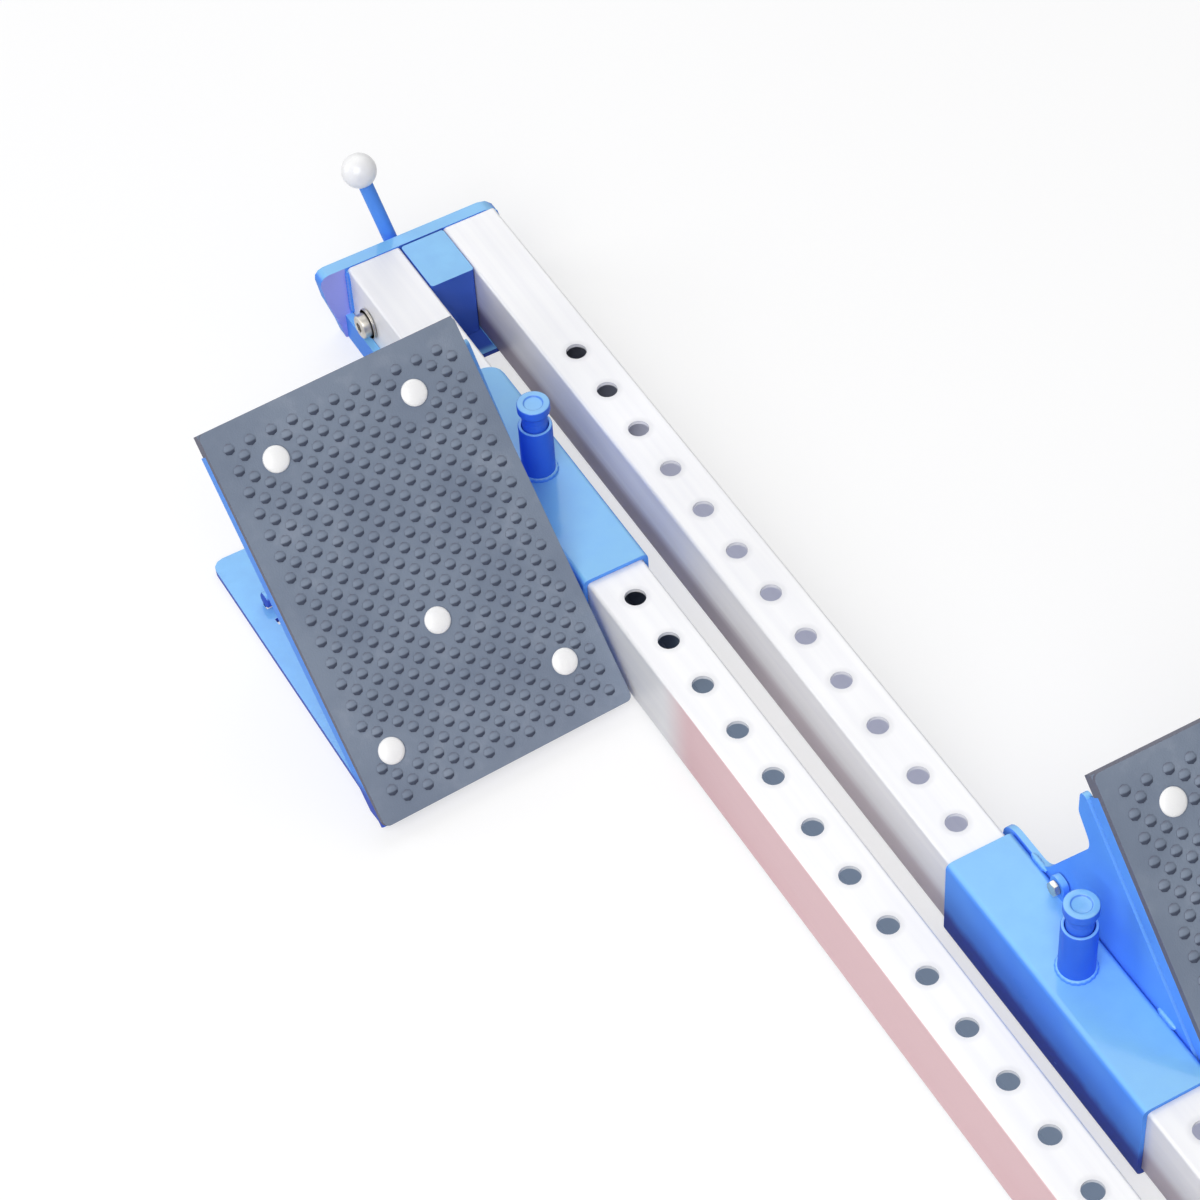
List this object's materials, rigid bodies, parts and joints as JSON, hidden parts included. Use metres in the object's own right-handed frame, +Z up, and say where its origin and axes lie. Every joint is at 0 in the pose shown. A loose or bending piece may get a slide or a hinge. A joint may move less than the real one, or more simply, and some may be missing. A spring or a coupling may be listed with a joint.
{
  "type": "starting blocks",
  "caption": "Sprint starting blocks: punched rails between end brackets, with sliding pedal blocks locked by spring plungers and tilting rubber-faced pedals.",
  "frame": {"origin": "on the ground, under the middle of the two rails, half way along them", "axes": "+Y is the way the runner leaves, along the rails; +X is to the runner's right; +Z is up"},
  "size_m": [0.3539, 0.835, 0.1392],
  "materials": {
    "blue_paint": "satin powder coat, mid blue",
    "deep_blue_paint": "satin paint, deep blue",
    "rail_metal": "mill-finish aluminium, softly brushed along the rail",
    "rubber": "matt grey rubber with moulded grip studs",
    "white_plastic": "white ball knob",
    "rivet_metal": "bright domed rivet",
    "zinc": "zinc-plated fastener",
    "steel": "plain steel"
  },
  "bodies": {
    "frame": {"right_rail": "rail_metal", "left_rail": "rail_metal", "rear_end_bracket": "blue_paint", "rear_cross_member": "blue_paint", "rear_cross_bolt": "zinc", "rear_cross_nut": "zinc", "rear_pin_guide": "blue_paint", "front_end_bracket": "blue_paint", "front_cross_member": "blue_paint", "front_cross_bolt": "zinc", "front_cross_nut": "zinc", "front_pin_guide": "blue_paint"},
    "rear_pin": {"rear_ground_pin": "blue_paint", "rear_pin_ball": "white_plastic"},
    "front_pin": {"front_ground_pin": "blue_paint", "front_pin_ball": "white_plastic"},
    "right_block": {"right_sleeve": "blue_paint", "right_plunger_housing": "deep_blue_paint", "right_plunger_spring": "steel", "right_side_cheek": "blue_paint", "right_cheek_bolt": "zinc", "right_cheek_nut": "zinc", "right_base_plate": "blue_paint", "right_hinge_pin": "steel"},
    "right_plunger": {"right_plunger_pin": "steel", "right_plunger_cap": "deep_blue_paint"},
    "right_pedal": {"right_pad_plate": "blue_paint", "right_rubber_pad": "rubber", "right_prop_pin": "steel", "right_pad_rivet_1": "rivet_metal", "right_pad_rivet_2": "rivet_metal", "right_pad_rivet_3": "rivet_metal", "right_pad_rivet_4": "rivet_metal", "right_pad_rivet_5": "rivet_metal"},
    "right_prop": {"right_prop": "blue_paint"},
    "left_block": {"left_sleeve": "blue_paint", "left_plunger_housing": "deep_blue_paint", "left_plunger_spring": "steel", "left_side_cheek": "blue_paint", "left_cheek_bolt": "zinc", "left_cheek_nut": "zinc", "left_base_plate": "blue_paint", "left_hinge_pin": "steel"},
    "left_plunger": {"left_plunger_pin": "steel", "left_plunger_cap": "deep_blue_paint"},
    "left_pedal": {"left_pad_plate": "blue_paint", "left_rubber_pad": "rubber", "left_prop_pin": "steel", "left_pad_rivet_1": "rivet_metal", "left_pad_rivet_2": "rivet_metal", "left_pad_rivet_3": "rivet_metal", "left_pad_rivet_4": "rivet_metal", "left_pad_rivet_5": "rivet_metal"},
    "left_prop": {"left_prop": "blue_paint"}
  },
  "joints": [
    {"name": "right_block_slide", "type": "slide", "parent": "frame", "child": "right_block", "axis": [0, 1, 0], "range_m": [-0.03, 0.21]},
    {"name": "left_block_slide", "type": "slide", "parent": "frame", "child": "left_block", "axis": [0, 1, 0], "range_m": [-0.12, 0.06]},
    {"name": "right_plunger_travel", "type": "slide", "parent": "right_block", "child": "right_plunger", "axis": [0, 0, 1], "range_m": [-0.008, 0], "deforming": ["right_plunger_spring"]},
    {"name": "left_plunger_travel", "type": "slide", "parent": "left_block", "child": "left_plunger", "axis": [0, 0, 1], "range_m": [-0.008, 0], "deforming": ["left_plunger_spring"]},
    {"name": "right_pedal_tilt", "type": "hinge", "parent": "right_block", "child": "right_pedal", "pos_m": [0.1091, -0.123, 0.0073], "axis": [-0.9987, -0.0506, 0], "range_deg": [0, 20]},
    {"name": "left_pedal_tilt", "type": "hinge", "parent": "left_block", "child": "left_pedal", "pos_m": [-0.1091, 0.2394, 0.0073], "axis": [-1, 0, 0], "range_deg": [0, 20]},
    {"name": "right_prop_swing", "type": "hinge", "parent": "right_pedal", "child": "right_prop", "pos_m": [0.1125, -0.1902, 0.07004], "axis": [-0.9987, -0.0506, 0], "range_deg": [-40, 0]},
    {"name": "left_prop_swing", "type": "hinge", "parent": "left_pedal", "child": "left_prop", "pos_m": [-0.1091, 0.17211, 0.07004], "axis": [-1, 0, 0], "range_deg": [-40, 0]},
    {"name": "rear_pin_travel", "type": "slide", "parent": "frame", "child": "rear_pin", "axis": [0.225, 0, 0.9744], "range_m": [-0.038, 0]},
    {"name": "front_pin_travel", "type": "slide", "parent": "frame", "child": "front_pin", "axis": [-0.225, 0, 0.9744], "range_m": [-0.038, 0]}
  ],
  "couplings": [
    {"joint": "right_prop_swing", "follows": "right_pedal_tilt", "ratio": -2},
    {"joint": "left_prop_swing", "follows": "left_pedal_tilt", "ratio": -2}
  ]
}
